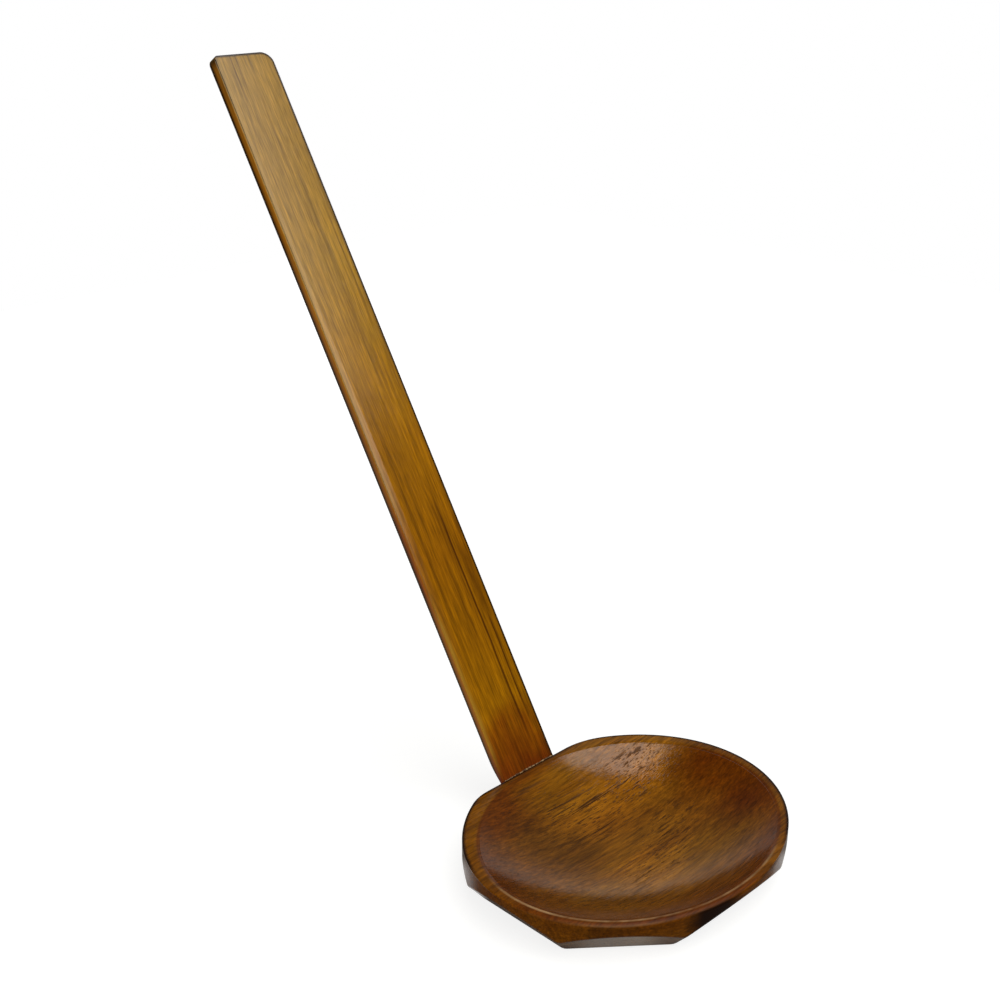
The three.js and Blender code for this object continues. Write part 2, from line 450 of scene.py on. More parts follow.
def add_node(tree, kind, take, sockets=(), stops=(), **settings):
    """Add a node. sockets gives the inputs, in order or by identifier, values or outputs to link."""
    made = tree.nodes.new(kind)
    for name, value in settings.items():
        setattr(made, name, value)
    if not isinstance(sockets, dict):
        sockets = dict(zip([s.identifier for s in made.inputs], sockets))
    for name, value in sockets.items():
        socket = next(s for s in made.inputs if s.identifier == name)
        if isinstance(value, bpy.types.NodeSocket):
            tree.links.new(value, socket)
        else:
            socket.default_value = value
    for number, (place, colour) in enumerate(stops):
        ramp = made.color_ramp.elements
        stop = ramp[number] if number < 2 else ramp.new(place)
        stop.position = place
        stop.color = linear(colour)
    return next((s for s in made.outputs if s.identifier == take), made)


def new_material(name, piece):
    """An empty node material on a piece, as the helper that adds nodes to it."""
    material = bpy.data.materials.new(name)
    material.use_nodes = True
    material.node_tree.nodes.clear()
    piece.data.materials.append(material)
    return partial(add_node, material.node_tree)


print("a golden brown as linear RGBA:", [round(c, 3) for c in linear("#8A6020")])

# %% [markdown]
# Wood is never even. Two helpers draw that: soft oval patches, seen from above, for what differs
# from place to place, and grain, which is a noise in space that is stretched along the fibres.
# A third lays stains and lacquers over the colour of the wood, as coats, one after the other.

# %% Patches, grain and coats
PATCH_WHOLE = 0.35  # shares of a patch's half lengths: whole up to here, gone from there on
PATCH_END = 1.15
NOISE_LOW = 0.3  # most of a noise lies between these two
NOISE_HIGH = 0.7


def oval_share(add, space, x, y, half_x, half_y):
    """How far out a place is on an oval seen from above: 0 in the middle, 1 on its outline."""
    moved = add("ShaderNodeVectorMath", "Vector", [space, (x, y, 0)], operation="SUBTRACT")
    stretch = (1 / half_x, 1 / half_y, 0)
    flat = add("ShaderNodeVectorMath", "Vector", [moved, stretch], operation="MULTIPLY")
    return add("ShaderNodeVectorMath", "Value", [flat], operation="LENGTH")


def soft_patches(add, space, patches):
    """The sum of soft oval patches."""
    total = 0
    for x, y, half_x, half_y, strength in patches:
        reach = oval_share(add, space, x * MM, y * MM, half_x * MM, half_y * MM)
        patch = add(
            "ShaderNodeMapRange",
            "Result",
            {"Value": reach, "From Min": PATCH_END, "From Max": PATCH_WHOLE, "To Max": strength},
            interpolation_type="SMOOTHSTEP",
        )
        total = add("ShaderNodeMath", "Value", [total, patch], operation="ADD")
    return total


def grain(add, space, size_mm, detail, darkest=0, lightest=1):
    """A noise stretched along the grain, and the tone it gives the wood."""
    sized = add("ShaderNodeMapping", "Vector", {"Vector": space, "Scale": feature(*size_mm)})
    noise = add(
        "ShaderNodeTexNoise",
        "Fac",
        {"Vector": sized, "Scale": 1, "Detail": detail, "Roughness": 0.6, "Distortion": 0.2},
    )
    tones = {"To Min": darkest, "To Max": lightest}
    tone = add(
        "ShaderNodeMapRange",
        "Result",
        {"Value": noise, "From Min": NOISE_LOW, "From Max": NOISE_HIGH, **tones},
    )
    return noise, tone


def coated(add, colour, coats):
    """A colour under coats: how much of each, its own colour, and how it is laid on."""
    for share, tint, way in coats:
        colour = add(
            "ShaderNodeMix",
            "Result_Color",
            {"Factor_Float": share, "A_Color": colour, "B_Color": linear(tint)},
            data_type="RGBA",
            blend_type=way,
        )
    return colour


print("a patch fades out from", PATCH_WHOLE, "to", PATCH_END, "of its half lengths")

# %% [markdown]
# The bowl's finish depends on the place: in the hollow, on the flat band of the rim, on the lip,
# on a facet or on the upright wall. Each of these is worked out once, from the sizes of the bowl,
# as a share between 0 and 1. Colours painted on the mesh would need far smaller faces.

# %% Places on the bowl
OUTSIDE_START = 0.15 * MM  # below the surface of the hollow
OUTSIDE_WHOLE = 0.5 * MM
FACET_START = 0.997  # shares of the outer half lengths
FACET_WHOLE = 0.985
RIM_TOP_WHOLE = 0.25 * MM  # below the rim
RIM_TOP_END = 0.5 * MM
BAND_START = 0.996  # shares of the hollow's half lengths
BAND_WHOLE = 1.008
LIP_LINE_START = 13 * MM  # along the way to the lip
LIP_LINE_WHOLE = 19 * MM


def bowl_places(add, space):
    """Where a point is on the bowl: lengths, and shares between 0 and 1."""
    where = SimpleNamespace()
    where.x = add("ShaderNodeSeparateXYZ", "X", [space])
    z = where.x.node.outputs["Z"]
    where.below_rim = add("ShaderNodeMath", "Value", [rim_level, z], operation="SUBTRACT")
    where.toward_lip = add("ShaderNodeVectorMath", "Value", [space, LIP_WAY], operation="DOT_PRODUCT")
    where.out = oval_share(add, space, hollow_centre, 0, hollow_half_length, hollow_half_width)
    where.outer = oval_share(add, space, 0, 0, half_length, half_width)

    # the outside is what lies well below the surface of the hollow
    near = add("ShaderNodeMath", "Value", [where.out, 1], operation="MINIMUM")
    raised = add("ShaderNodeMath", "Value", [near, DISH_POWER], operation="POWER")
    rise = [raised, hollow_depth, FLOOR_THICKNESS]
    surface = add("ShaderNodeMath", "Value", rise, operation="MULTIPLY_ADD")
    beneath = add("ShaderNodeMath", "Value", [surface, z], operation="SUBTRACT")
    where.outside = add(
        "ShaderNodeMapRange",
        "Result",
        {"Value": beneath, "From Min": OUTSIDE_START, "From Max": OUTSIDE_WHOLE},
    )

    # facets lie inside the outer oval, and the rest of the outside is the upright wall
    planed = add(
        "ShaderNodeMapRange",
        "Result",
        {"Value": where.outer, "From Min": FACET_START, "From Max": FACET_WHOLE},
    )
    where.on_facet = add("ShaderNodeMath", "Value", [where.outside, planed], operation="MULTIPLY")
    where.on_upright = add("ShaderNodeMath", "Value", [where.outside, where.on_facet], operation="SUBTRACT")

    # the flat band of the rim ends where the lip is rounded over
    on_top = add(
        "ShaderNodeMapRange",
        "Result",
        {"Value": where.below_rim, "From Min": RIM_TOP_END, "From Max": RIM_TOP_WHOLE},
    )
    past_hollow = add(
        "ShaderNodeMapRange",
        "Result",
        {"Value": where.out, "From Min": BAND_START, "From Max": BAND_WHOLE},
    )
    on_ring = add("ShaderNodeMath", "Value", [on_top, past_hollow], operation="MULTIPLY")
    off_lip = add(
        "ShaderNodeMapRange",
        "Result",
        {"Value": where.toward_lip, "From Min": LIP_END, "From Max": LIP_START},
    )
    where.on_band = add("ShaderNodeMath", "Value", [on_ring, off_lip], operation="MULTIPLY")
    where.on_lip = add(
        "ShaderNodeMapRange",
        "Result",
        {"Value": where.toward_lip, "From Min": LIP_LINE_START, "From Max": LIP_LINE_WHOLE},
    )
    return where


print("the hollow is", round(hollow_depth / MM, 2), "mm deep")

# %% [markdown]
# The bowl is a dark brown, open-pored hardwood, stained and lacquered to a satin gloss. Its
# grain runs across the bowl. Everything in it is long in that one direction: broad bands of
# lighter and darker wood, streaks, fine fibres, long dark lines, and the pores, which the knife
# opened as short dark dashes. Lines and pores gather in a few places. The stain is darker and
# redder on the walls, where the grain is cut across, than on the sanded rim.

# %% Bowl wood
OPEN_GRAIN = [
    # middle of a patch along x and y, its half lengths in mm, and how far the grain is open
    (-11, 3, 9, 17, 1.0),
    (-14, 20, 8, 11, 0.8),
    (8, 1, 7, 13, 1.0),
    (2, 12, 6, 12, 0.8),
    (-20, -8, 7, 13, 0.6),
]
OPEN_BAND = 0.3  # how far it is open on the flat band of the rim
WALL_STAIN = [
    # the same for the stain: its strength, or less stain where that is below zero
    (-18, 20, 15, 24, -0.9),
    (-22, 0, 7, 12, -0.3),
    (2, 26, 16, 13, 0.5),
    (-20, -15, 8, 10, 0.3),
]
WALL_START = 0.55  # shares of the hollow's half lengths
WALL_WHOLE = 1.03
WOOD_TONE_AND_SHEEN = [
    # the same for paler wood and, at the back, painted sheen, or darker wood where that is below zero
    (-12, 8, 8, 20, 0.4),
    (-17, 24, 9, 10, 0.2),
    (8, -4, 7, 13, 0.25),
    (-8, -12, 14, 10, -0.3),
    (13, -19, 10, 13, -0.2),
    (15, 13, 8, 13, -0.25),
]


def raw_hardwood(add, space):
    """The colour of the wood, in bands, streaks and fibres, and the fibres themselves."""
    bands, _ = grain(add, space, (9, 40, 9), 3)
    browns = [(0.3, "#734206"), (0.7, "#925F10"), (0.5, "#82500A")]
    colour = add("ShaderNodeValToRGB", "Color", {"Fac": bands}, stops=browns)
    _, streak_tone = grain(add, space, (0.8, 11, 0.8), 2, 0.7, 1.26)
    fibres, fibre_tone = grain(add, space, (0.36, 4, 0.36), 2, 0.64, 1.3)
    fine_tone = add("ShaderNodeMath", "Value", [streak_tone, fibre_tone], operation="MULTIPLY")
    # the paler patches at the back of the hollow are partly painted sheen
    patches = soft_patches(add, space, WOOD_TONE_AND_SHEEN)
    tone = add("ShaderNodeMath", "Value", [fine_tone, patches, fine_tone], operation="MULTIPLY_ADD")
    toned = add("ShaderNodeVectorMath", "Vector", {"Vector": colour, "Scale": tone}, operation="SCALE")
    return toned, fibres


def wall_stain(add, space, where):
    """How much stain: most on the walls of the hollow, less on the rim and outside, and uneven."""
    steep = add(
        "ShaderNodeMapRange",
        "Result",
        {"Value": where.out, "From Min": WALL_START, "From Max": WALL_WHOLE},
    )
    patches = soft_patches(add, space, WALL_STAIN)
    uneven = add("ShaderNodeMath", "Value", [steep, patches], operation="ADD", use_clamp=True)
    sanded = add("ShaderNodeMath", "Value", [where.on_band, where.outside], operation="MAXIMUM")
    takes = add("ShaderNodeMapRange", "Result", {"Value": sanded, "To Min": 1, "To Max": 0.4})
    return add("ShaderNodeMath", "Value", [uneven, takes], operation="MULTIPLY")


def open_pores(add, space, where):
    """Long dark lines and pores, where the grain is open."""
    line_noise, _ = grain(add, space, (0.7, 15, 0.7), 1)
    lines = add(
        "ShaderNodeMapRange",
        "Result",
        {"Value": line_noise, "From Min": 0.41, "From Max": 0.33, "To Max": 0.85},
    )
    sized = add("ShaderNodeMapping", "Vector", {"Vector": space, "Scale": feature(0.42, 2.4, 0.42)})
    cells = add("ShaderNodeTexVoronoi", "Distance", {"Vector": sized, "Scale": 1})
    dashes = add(
        "ShaderNodeMapRange",
        "Result",
        {"Value": cells, "From Min": 0.34, "From Max": 0.2, "To Max": 0.75},
    )
    dents = add("ShaderNodeMath", "Value", [lines, dashes], operation="MAXIMUM")
    patches = soft_patches(add, space, OPEN_GRAIN)
    openness = add("ShaderNodeMath", "Value", [where.on_band, OPEN_BAND, patches], operation="MULTIPLY_ADD")
    shown = add("ShaderNodeMapRange", "Result", {"Value": openness, "To Min": 0.2, "To Max": 1})
    return add("ShaderNodeMath", "Value", [dents, shown], operation="MULTIPLY")


print("bowl wood:", len(OPEN_GRAIN), "patches of open grain")

# %% [markdown]
# Some of the bowl's colour is painted light. Away from the lip the outer edge of the rim is nearly
# black, and painted shade darkens the outer wall in two places near the front. A painted highlight
# runs along the edge of the lip as a broken pale line, and a painted sheen lightens three facets.
# The upright wall, the worn lip and the open pores have hardly any gloss.

# %% Bowl lacquer and painted light
PAINTED_FACET_SHEEN = [
    # middle of a patch along x and y, its half lengths in mm, and the strength of the painted sheen there
    (19, -24, 10, 11, 0.6),
    (19, 24, 10, 11, 0.3),
    (-18, -28, 9, 8, 0.3),
]
PAINTED_WALL_SHADE = [
    # the same for nearly black painted shade on the outer wall
    (29.8, -9, 5, 7.5, 1.0),
    (20, -29, 6, 6, 0.3),
]
# the painted highlight: a thin pale line along the edge of the lip
LIP_LINE_PLACE = 1.008  # shares of the hollow's half lengths
LIP_LINE_HALF = 0.013
LIP_LINE_CORE = 0.003
WORN_START = 0.97
WORN_WHOLE = 0.985
WORN_DEPTH = 0.7 * MM  # below the rim
WORN_END = 1.4 * MM
DARK_EDGE_WHOLE = 9 * MM  # along the way to the lip
DARK_EDGE_END = 15 * MM
DARK_EDGE_CORE = 0.3 * MM  # in from the outer edge of the rim
DARK_EDGE_FADE = 0.9 * MM
DARK_EDGE_STEEPNESS = 4  # how much sooner it ends down the wall
WAVE_HEIGHT = 2  # against that of the fibres


def painted_highlight_and_sheen(add, space, where):
    """Painted highlight and sheen: a broken pale line on the edge of the lip, and some pale facets."""
    patches = soft_patches(add, space, PAINTED_FACET_SHEEN)
    painted_facet_sheen = add("ShaderNodeMath", "Value", [where.on_facet, patches], operation="MULTIPLY")
    from_line = add("ShaderNodeMath", "Value", [where.out, LIP_LINE_PLACE], operation="SUBTRACT")
    beside_line = add("ShaderNodeMath", "Value", [from_line], operation="ABSOLUTE")
    lip_highlight_line = add(
        "ShaderNodeMapRange",
        "Result",
        {"Value": beside_line, "From Min": LIP_LINE_HALF, "From Max": LIP_LINE_CORE, "To Max": 0.95},
    )
    lip_highlight = add("ShaderNodeMath", "Value", [lip_highlight_line, where.on_lip], operation="MULTIPLY")
    _, breaks = grain(add, space, (5, 6, 5), 3, lightest=1.1)
    broken = add("ShaderNodeMath", "Value", [lip_highlight, breaks], operation="MULTIPLY")
    return add("ShaderNodeMath", "Value", [broken, painted_facet_sheen], operation="MAXIMUM")


def dark_edge_and_painted_shade(add, space, where):
    """Where it is nearly black: the outer edge of the rim, away from the lip, and painted shade on some
    wall places.
    """
    from_oval = add(
        "ShaderNodeMapRange",
        "Result",
        {"Value": where.outer, "From Min": 1, "From Max": 0, "To Max": half_width},
    )
    from_seat = add("ShaderNodeMath", "Value", [where.x, seat_at_rim], operation="SUBTRACT")
    inside = add("ShaderNodeMath", "Value", [from_oval, from_seat], operation="MINIMUM")
    down = add("ShaderNodeMath", "Value", [where.below_rim, DARK_EDGE_STEEPNESS], operation="MULTIPLY")
    from_edge = add("ShaderNodeMath", "Value", [inside, down], operation="MAXIMUM")
    edge = add(
        "ShaderNodeMapRange",
        "Result",
        {"Value": from_edge, "From Min": DARK_EDGE_FADE, "From Max": DARK_EDGE_CORE},
    )
    behind = add(
        "ShaderNodeMapRange",
        "Result",
        {"Value": where.toward_lip, "From Min": DARK_EDGE_END, "From Max": DARK_EDGE_WHOLE},
    )
    on_edge = add("ShaderNodeMath", "Value", [edge, behind], operation="MULTIPLY")
    # painted shade on the outer wall, in a few places
    patches = soft_patches(add, space, PAINTED_WALL_SHADE)
    on_wall = add("ShaderNodeMath", "Value", [where.outside, patches], operation="MULTIPLY")
    return add("ShaderNodeMath", "Value", [on_edge, on_wall], operation="MAXIMUM")


def worn_lip(add, where):
    """How far the lacquer on top of the lip is worn."""
    at_rim = add(
        "ShaderNodeMapRange",
        "Result",
        {"Value": where.out, "From Min": WORN_START, "From Max": WORN_WHOLE, "To Max": 0.8},
    )
    near_top = add(
        "ShaderNodeMapRange",
        "Result",
        {"Value": where.below_rim, "From Min": WORN_END, "From Max": WORN_DEPTH},
    )
    worn = add("ShaderNodeMath", "Value", [at_rim, near_top], operation="MULTIPLY")
    return add("ShaderNodeMath", "Value", [worn, where.on_lip], operation="MULTIPLY")


def lacquered_hardwood(piece):
    """Satin-lacquered dark hardwood: brown bands, fine fibres and open pores across the bowl."""
    add = new_material("lacquered_dark_hardwood", piece)
    space = add("ShaderNodeTexCoord", "Object")
    where = bowl_places(add, space)
    wood, fibres = raw_hardwood(add, space)
    pores = open_pores(add, space, where)
    coats = [
        (wall_stain(add, space, where), "#C29E58", "MULTIPLY"),
        (pores, "#2C1302", "MIX"),
        (where.outside, "#D2C6B4", "MULTIPLY"),
        # painted highlight along the lip's edge, and painted sheen on three facets
        (painted_highlight_and_sheen(add, space, where), "#A8845A", "MIX"),
        # the nearly black outer rim edge, and painted shade on the outer wall
        (dark_edge_and_painted_shade(add, space, where), "#1C0B03", "MIX"),
    ]
    colour = coated(add, wood, coats)

    # the lacquer dips into the pores, follows the fibres, and was sanded a little wavy
    fine_height = add("ShaderNodeMath", "Value", [fibres, pores], operation="SUBTRACT")
    waves, _ = grain(add, space, (4, 6, 4), 1)
    height = add("ShaderNodeMath", "Value", [waves, WAVE_HEIGHT, fine_height], operation="MULTIPLY_ADD")
    bump = add("ShaderNodeBump", "Normal", {"Height": height, "Strength": 0.25, "Distance": 0.08 * MM})

    # it is dull in the pores and on the worn lip, and hardly any gloss is left there or on the wall
    rubbed = add("ShaderNodeMath", "Value", [pores, worn_lip(add, where)], operation="MAXIMUM")
    dull = add("ShaderNodeMapRange", "Result", {"Value": rubbed, "To Min": 0.11, "To Max": 0.5})
    bare = add("ShaderNodeMath", "Value", [where.on_upright, rubbed], operation="MAXIMUM")
    gloss = add("ShaderNodeMapRange", "Result", {"Value": bare, "To Min": 0.5, "To Max": 0.06})
    shader = add(
        "ShaderNodeBsdfPrincipled",
        "BSDF",
        {"Base Color": colour, "Normal": bump, "Roughness": dull, "IOR": 1.5, "Specular IOR Level": gloss},
    )
    add("ShaderNodeOutputMaterial", "", {"Surface": shader})


lacquered_hardwood(bowl)
print("bowl wood:", bowl.active_material.name)

# %% [markdown]
# The handle is a lighter, straight-grained wood under the same lacquer. It is amber near the
# bowl and pales to tan at the tip, and the foot is stained nearly red where glue and lacquer
# soaked in. Its grain runs along the bar, so its patterns live in the bar's own upright frame.
# A few dark veins are drawn one by one: each is a thin line at its own place across the bar,
# from one height to another, bent a little by a slow noise. A painted highlight lies along the
# eased left edge, and it is drawn as two more such lines.

# %% Handle wood
BAR_BROWNS = [
    # share of the way from the rim to the tip, and the colour there, with the two ends first
    (0.0, "#6E3003"),
    (1.0, "#A67E2E"),
    (0.05, "#884A02"),
    (0.09, "#A06802"),
    (0.3, "#985E02"),
    (0.45, "#A06804"),
    (0.58, "#A6740C"),
    (0.7, "#AA7E22"),
    (0.85, "#A87E2A"),
]
VEINS = [
    # place across, half width, start and end above the rim in mm, and strength
    (3.3, 0.5, 4, 66, 0.85),
    (5.4, 0.42, 7, 40, 0.85),
    (5.6, 1.9, 30, 56, 0.5),
    (2.4, 1.2, 30, 66, 0.35),
    (6.6, 0.5, 30, 62, 0.35),
    (-4.0, 0.4, 30, 92, 0.3),
    (0.1, 0.6, 26, 56, 0.35),
    (-6.2, 0.8, 24, 60, 0.25),
    (1.0, 0.4, 100, 138, 0.3),
    (5.8, 0.4, 102, 140, 0.3),
    (-3.6, 0.3, 158, 178, 0.6),
    (-2.2, 0.3, 161, 178, 0.6),
    (0.4, 0.5, 140, 168, 0.25),
]
PAINTED_EDGE_HIGHLIGHT = [
    # the same for the painted highlight on the eased edge
    (-7.8, 1.2, 0, 44, 0.75),
    (-7.6, 1.6, 58, 164, 0.55),
]
VEIN_FADE = 8
VEIN_DRIFT = 1.2 * MM
BLOTCH_REACH = 18 * MM


def raw_bar(add, upright, along):
    """The colour of the wood, with blotches and streaks along the bar, and its fibres."""
    sized = add("ShaderNodeMapping", "Vector", {"Vector": upright, "Scale": feature(5, 5, 9)})
    blotches = add("ShaderNodeTexNoise", "Fac", {"Vector": sized, "Scale": 1, "Detail": 3})
    wandering = add("ShaderNodeMath", "Value", [blotches, BLOTCH_REACH, along], operation="MULTIPLY_ADD")
    share = add(
        "ShaderNodeMapRange",
        "Result",
        {"Value": wandering, "From Min": BLOTCH_REACH / 2, "From Max": HANDLE_LENGTH + BLOTCH_REACH / 2},
    )
    colour = add("ShaderNodeValToRGB", "Color", {"Fac": share}, stops=BAR_BROWNS)
    _, streak_tone = grain(add, upright, (0.9, 0.8, 28), 3, 0.66, 1.28)
    fibres, fibre_tone = grain(add, upright, (0.26, 0.26, 4.5), 3, 0.66, 1.32)
    tone = add("ShaderNodeMath", "Value", [streak_tone, fibre_tone], operation="MULTIPLY")
    toned = add("ShaderNodeVectorMath", "Vector", {"Vector": colour, "Scale": tone}, operation="SCALE")
    return toned, fibres


def vein(add, across, along, place, half_width_mm, start, end, strength):
    """How strongly a vein shows: thin across the bar and fading out at both ends."""
    beside = add("ShaderNodeMath", "Value", [across, place * MM], operation="SUBTRACT")
    distance = add("ShaderNodeMath", "Value", [beside], operation="ABSOLUTE")
    shown = add(
        "ShaderNodeMapRange",
        "Result",
        {"Value": distance, "From Min": half_width_mm * MM, "From Max": 0, "To Max": strength},
        interpolation_type="SMOOTHSTEP",
    )
    for tip, inner in ((start, start + VEIN_FADE), (end, end - VEIN_FADE)):
        fade = add(
            "ShaderNodeMapRange",
            "Result",
            {"Value": along, "From Min": tip * MM, "From Max": inner * MM},
        )
        shown = add("ShaderNodeMath", "Value", [shown, fade], operation="MULTIPLY")
    return shown


def veins(add, across, along, marks):
    """All lines of a list together."""
    shown = 0
    for mark in marks:
        seen = vein(add, across, along, *mark)
        shown = add("ShaderNodeMath", "Value", [shown, seen], operation="MAXIMUM")
    return shown


print("handle wood:", len(VEINS), "veins")

# %% [markdown]
# The handle's sides took more stain than its front. Lacquer has gathered on the tip, the right
# front edge and the edges of the back, and draws a fine dark outline there. The outline is worked
# out from the bar's own sizes, so it follows the rounded corners of the tip.

# %% Handle lacquer
OUTLINE = 0.8 * MM
OUTLINE_CORE = 0.35 * MM
BACK_OUTLINE = (1.2 * MM, 0.24 * MM)  # in front of the back: where it starts, and is whole
SIDE_STAIN = (0.15 * MM, 0.05 * MM)  # in from the side, the same
SIDE_CORE = 0.1 * MM

bar_side = HANDLE_WIDTH / 2
bar_front = -JOINT_GAP
bar_back = bar_front - NECK_THICKNESS


def bar_outline(add, across, along, forward, from_middle):
    """Where lacquer has gathered: right front edge and tip, and where a side meets the back."""
    round_across, round_along = TIP_ROUNDS[1]
    left_across, left_along = TIP_ROUNDS[-1]
    spans = {
        # name: what is measured, where the share starts and where it is whole
        "right": (across, bar_side - round_across, bar_side),
        "front": (forward, bar_front - OUTLINE, bar_front - OUTLINE_CORE),
        "tip": (along, HANDLE_LENGTH - round_along, HANDLE_LENGTH),
        "left": (across, left_across - bar_side, -bar_side),
        "corner": (along, HANDLE_LENGTH - 2 * left_along, HANDLE_LENGTH - left_along / 2),
        "back": (forward, *(bar_back + reach for reach in BACK_OUTLINE)),
        "sides": (from_middle, bar_side - OUTLINE, bar_side - SIDE_CORE),
    }
    at = {}
    for name, (value, start, whole) in spans.items():
        span = {"Value": value, "From Min": start, "From Max": whole}
        at[name] = add("ShaderNodeMapRange", "Result", span)
    right = add("ShaderNodeMath", "Value", [at["right"], at["front"]], operation="MULTIPLY")
    outward = add("ShaderNodeCombineXYZ", "Vector", [right, at["tip"]])
    reach = add("ShaderNodeVectorMath", "Value", [outward], operation="LENGTH")
    edge_start = 1 - OUTLINE / round_across
    edge_whole = 1 - OUTLINE_CORE / round_across
    on_edge = add(
        "ShaderNodeMapRange",
        "Result",
        {"Value": reach, "From Min": edge_start, "From Max": edge_whole},
    )
    on_corner = add("ShaderNodeMath", "Value", [at["left"], at["corner"]], operation="MULTIPLY")
    at_tip = add("ShaderNodeMath", "Value", [on_edge, on_corner], operation="MAXIMUM")
    behind = add("ShaderNodeMath", "Value", [at["back"], at["sides"]], operation="MULTIPLY")
    return add("ShaderNodeMath", "Value", [at_tip, behind], operation="MAXIMUM")


def lacquered_bar(piece):
    """Satin-lacquered golden brown wood, straight-grained along the handle."""
    add = new_material("lacquered_golden_wood", piece)
    space = add("ShaderNodeTexCoord", "Object")
    upright = add(
        "ShaderNodeMapping",
        "Vector",
        {"Vector": space, "Location": (seat_at_rim, 0, rim_level), "Rotation": (0, -lean, 0)},
        vector_type="TEXTURE",
    )
    across = add("ShaderNodeSeparateXYZ", "Y", [upright])
    along = across.node.outputs["Z"]
    forward = across.node.outputs["X"]
    wood, fibres = raw_bar(add, upright, along)

    # the lines are bent a little by a slow noise
    sized = add("ShaderNodeMapping", "Vector", {"Vector": upright, "Scale": feature(40, 40, 22)})
    drift = add("ShaderNodeTexNoise", "Fac", {"Vector": sized, "Scale": 1, "Detail": 2})
    bent = add("ShaderNodeMath", "Value", [drift, VEIN_DRIFT, across], operation="MULTIPLY_ADD")
    centred = add("ShaderNodeMath", "Value", [bent, VEIN_DRIFT / 2], operation="SUBTRACT")

    from_middle = add("ShaderNodeMath", "Value", [across], operation="ABSOLUTE")
    side_start, side_whole = (bar_side - reach for reach in SIDE_STAIN)
    on_side = add(
        "ShaderNodeMapRange",
        "Result",
        {"Value": from_middle, "From Min": side_start, "From Max": side_whole},
    )
    coats = [
        # a painted highlight along the eased left edge
        (veins(add, centred, along, PAINTED_EDGE_HIGHLIGHT), "#AC8128", "MIX"),
        (veins(add, centred, along, VEINS), "#3A1702", "MIX"),
        (on_side, "#F4CC96", "MULTIPLY"),
        (bar_outline(add, across, along, forward, from_middle), "#2E1A04", "MIX"),
    ]
    colour = coated(add, wood, coats)
    bump = add("ShaderNodeBump", "Normal", {"Height": fibres, "Strength": 0.2, "Distance": 0.06 * MM})
    shader = add(
        "ShaderNodeBsdfPrincipled",
        "BSDF",
        {"Base Color": colour, "Normal": bump, "Roughness": 0.15, "IOR": 1.5},
    )
    add("ShaderNodeOutputMaterial", "", {"Surface": shader})


lacquered_bar(handle)
print("handle wood:", handle.active_material.name)

# %% [markdown]
# Dried wood glue is a pale, slightly cloudy resin. Where it is thin the wood shows through, so
# the line looks broken: a noise about a millimetre wide turns it from pale to brown and back.

# %% Glue


def dried_glue(piece):
    """Dried wood glue: pale and cloudy, brown where it is thin."""
    add = new_material("dried_wood_glue", piece)
    space = add("ShaderNodeTexCoord", "Object")
    sized = add("ShaderNodeMapping", "Vector", {"Vector": space, "Scale": feature(0.8, 0.8, 0.8)})
    patches = add("ShaderNodeTexNoise", "Fac", {"Vector": sized, "Scale": 1, "Detail": 2})
    colour = add(
        "ShaderNodeValToRGB", "Color", {"Fac": patches}, stops=[(0.42, "#4E2E10"), (0.64, "#C4A070")]
    )
    shader = add(
        "ShaderNodeBsdfPrincipled", "BSDF", {"Base Color": colour, "Roughness": 0.5, "IOR": 1.48}
    )
    add("ShaderNodeOutputMaterial", "", {"Surface": shader})


dried_glue(glue)
print("glue:", glue.active_material.name)

# %% [markdown]
# The spoon stands on a sheet of white paper in a dark studio. The camera sees paper and room as
# plain white, with the spoon's soft shadow. What the lacquer mirrors is another matter, and it
# shapes the bowl: a large panel of light overhead gives the pale sheen on the back wall, and a
# low white board behind the spoon gives the grey sheen that crosses the floor of the bowl. The
# rest of the room is dark, so the front walls show the plain colour of the wood. Only close under
# the bowl, in three places, the paper is mirrored as white too and gives the facets their pale
# edge. A second, soft lamp stands on the left and lights the left side of the handle. It is kept
# out of the mirrored room, because it would draw a hard line along the eased edge.

# %% Floor, world and lamps
PAPER_SIZE = 1.0
PAPER_LIFT = 0.81
PAPER_NEAR = 0.12
PAPER_FAR = 0.4
PAPER_GLOW = [
    # middle of a patch along x and y, its half lengths in mm, and its strength
    (18, -22.5, 9, 10, 0.18),
    (-19, -30, 8, 8, 1.0),
    (27, 22, 6, 7, 0.9),
]
BOARD_WAY = Vector((-0.5, 0.866, 0))
BOARD_EDGE = 0.45  # how far a direction agrees with that way
BOARD_MIDDLE = 0.95
LAMPS = {
    # name: place, the turn about its own axis in degrees, its two sides, power, and if mirrored
    "overhead panel": ((0.607, 0.003, 0.9), 24.7, (1.2, 1.35), 12.2, True),
    "fill on the left": ((0.12, -0.85, 0.25), 0, (0.8, 0.8), 4.4, False),
}

paper_mesh = bmesh.new()
bmesh.ops.create_grid(paper_mesh, x_segments=1, y_segments=1, size=PAPER_SIZE / 2)
paper_data = bpy.data.meshes.new("paper")
paper_mesh.to_mesh(paper_data)
paper_mesh.free()
paper = bpy.data.objects.new("paper", paper_data)
bpy.context.scene.collection.objects.link(paper)

add = new_material("white_paper", paper)
camera_ray = add("ShaderNodeLightPath", "Is Camera Ray")
mirrored_ray = camera_ray.node.outputs["Is Glossy Ray"]
space = add("ShaderNodeTexCoord", "Object")
under_facets = soft_patches(add, space, PAPER_GLOW)
ray = add("ShaderNodeMath", "Value", [mirrored_ray, under_facets, camera_ray], operation="MULTIPLY_ADD")
distance = add("ShaderNodeVectorMath", "Value", [space], operation="LENGTH")
fade = add(
    "ShaderNodeMapRange",
    "Result",
    {"Value": distance, "From Min": PAPER_NEAR, "From Max": PAPER_FAR, "To Min": PAPER_LIFT},
)
lift = add("ShaderNodeMath", "Value", [ray, fade], operation="MULTIPLY")
matt = add("ShaderNodeBsdfDiffuse", "BSDF", {"Color": linear("#A0A09C")})
glow = add("ShaderNodeEmission", "Emission", {"Strength": lift})
both = add("ShaderNodeAddShader", "Shader", [matt, glow])
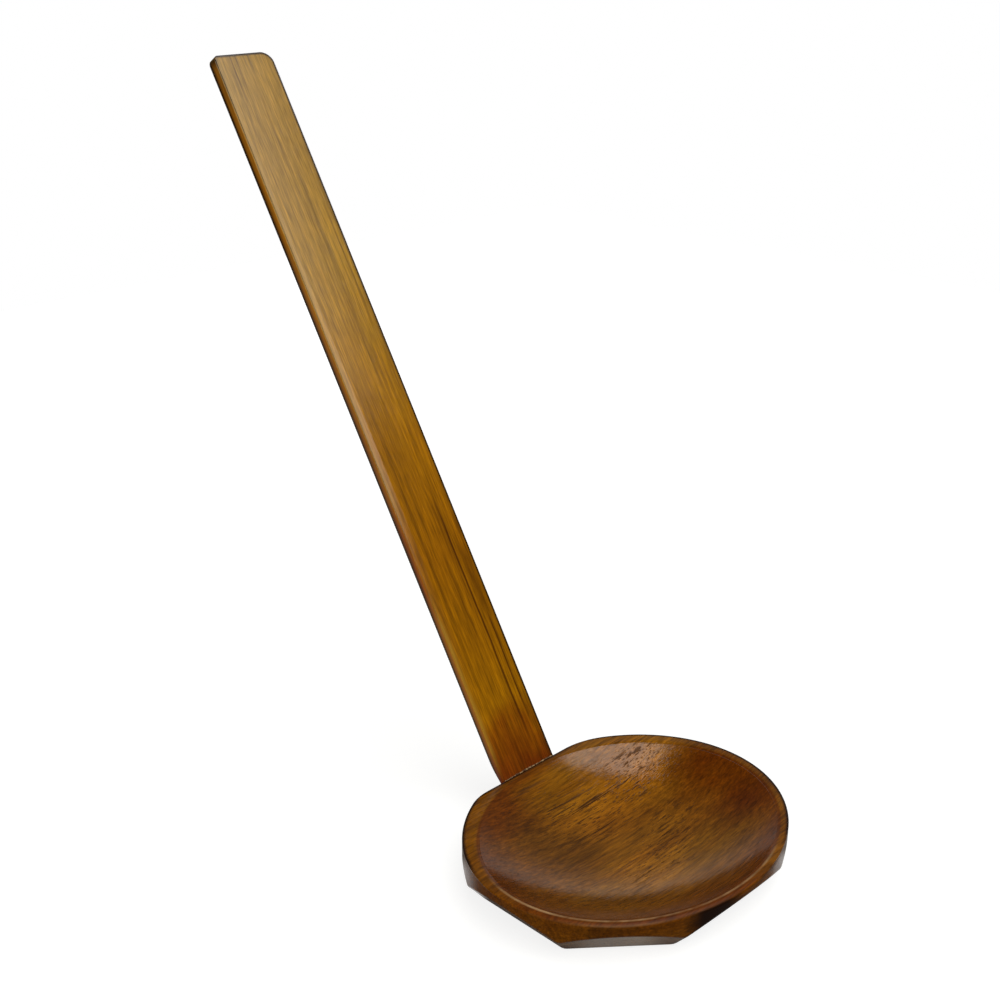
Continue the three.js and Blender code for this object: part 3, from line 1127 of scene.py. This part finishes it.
add("ShaderNodeOutputMaterial", "", {"Surface": both})

world = bpy.data.worlds.new("studio")
bpy.context.scene.world = world
world.use_nodes = True
world.node_tree.nodes.clear()
add = partial(add_node, world.node_tree)
direction = add("ShaderNodeTexCoord", "Generated")
height = add("ShaderNodeSeparateXYZ", "Z", [direction])
toward_board = add("ShaderNodeVectorMath", "Value", [direction, BOARD_WAY], operation="DOT_PRODUCT")
on_board = add(
    "ShaderNodeMapRange",
    "Result",
    {"Value": toward_board, "From Min": BOARD_EDGE, "From Max": BOARD_MIDDLE},
)
band = add(
    "ShaderNodeValToRGB",
    "Color",
    {"Fac": height},
    stops=[(0.22, "#000000"), (0.235, "#BCBCBC"), (0.36, "#A0A0A0"), (0.5, "#606060"), (0.85, "#585858")],
)
board = add("ShaderNodeMath", "Value", [on_board, band], operation="MULTIPLY")
ray = add("ShaderNodeLightPath", "Is Camera Ray")
bright = add("ShaderNodeMath", "Value", [board, ray], operation="MAXIMUM")
lit = add(
    "ShaderNodeMix",
    "Result_Color",
    {"Factor_Float": bright, "A_Color": linear("#2C2C2C"), "B_Color": (1, 1, 1, 1)},
    data_type="RGBA",
)
background = add("ShaderNodeBackground", "Background", {"Color": lit, "Strength": 1})
add("ShaderNodeOutputWorld", "", {"Surface": background})

for name, (place, turn, sides, power, mirrored) in LAMPS.items():
    lamp = bpy.data.objects.new(name, bpy.data.lights.new(name, "AREA"))
    lamp.data.shape = "RECTANGLE"
    lamp.data.size, lamp.data.size_y = sides
    lamp.data.energy = power
    lamp.visible_glossy = mirrored
    lamp.location = place
    if turn:
        lamp.rotation_euler = (0, 0, math.radians(turn))
    else:  # without a turn it is aimed at the spoon
        lamp.rotation_euler = (-Vector(place)).to_track_quat("-Z", "Y").to_euler()
    bpy.context.scene.collection.objects.link(lamp)

bpy.context.scene.view_settings.view_transform = "Standard"
print("stage: paper, studio and", len(LAMPS), "lamps")

# %% [markdown]
# The finished spoon has to stay within the CAD model's own box, so both boxes are written down.

# %% Update the view layer
bpy.context.view_layer.update()
